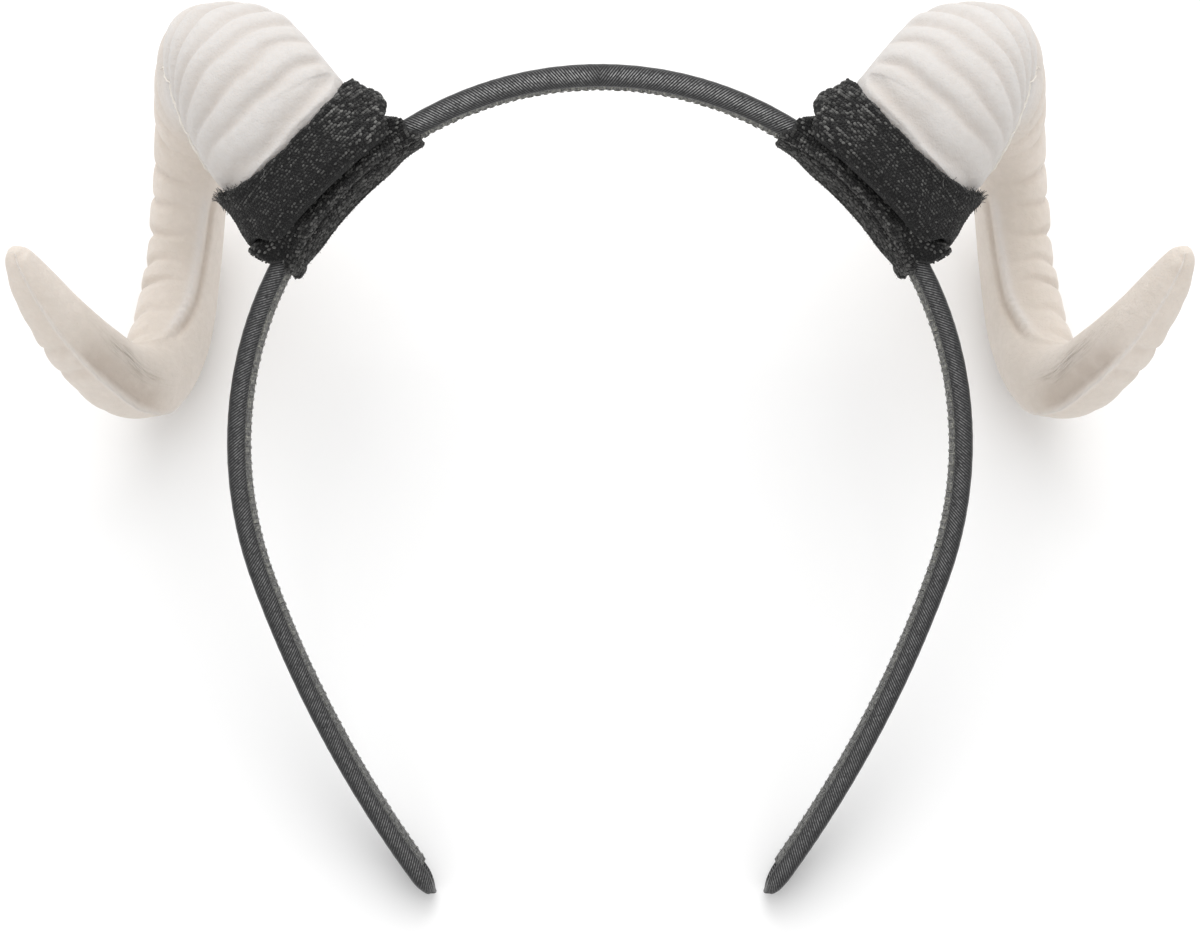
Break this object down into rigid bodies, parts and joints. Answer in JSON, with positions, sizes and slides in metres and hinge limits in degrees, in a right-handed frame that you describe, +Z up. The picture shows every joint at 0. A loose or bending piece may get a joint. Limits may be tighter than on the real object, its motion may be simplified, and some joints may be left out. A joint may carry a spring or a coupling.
{
  "type": "ram horns headband",
  "caption": "Costume headband lying on its back: a satin-covered spring hoop with a lining strip and a curled, ridged ram horn in a knitted collar at each side of the crown.",
  "frame": {"origin": "middle of the bounding box at the height of the surface that the headband lies on", "axes": "+X to the wearer's left, +Y from the hoop's tips towards its crown, +Z up from the surface that it lies on"},
  "size_m": [0.2108, 0.1602, 0.0749],
  "materials": {
    "satin": "sprung plastic band wound with charcoal satin ribbon, with fine diagonal ribs",
    "lining": "black grosgrain strip with crosswise ribs",
    "horn_foam": "matt off-white moulded foam with a velvety, cloth-like skin",
    "knit": "brushed black knit with light flecks"
  },
  "bodies": {
    "root": {"hoop": "satin", "lining_strip": "lining", "horn_left": "horn_foam", "horn_right": "horn_foam", "collar_left": "knit", "collar_right": "knit", "pad_left": "knit", "pad_right": "knit", "tunnel_left": "knit", "tunnel_right": "knit"}
  },
  "joints": []
}
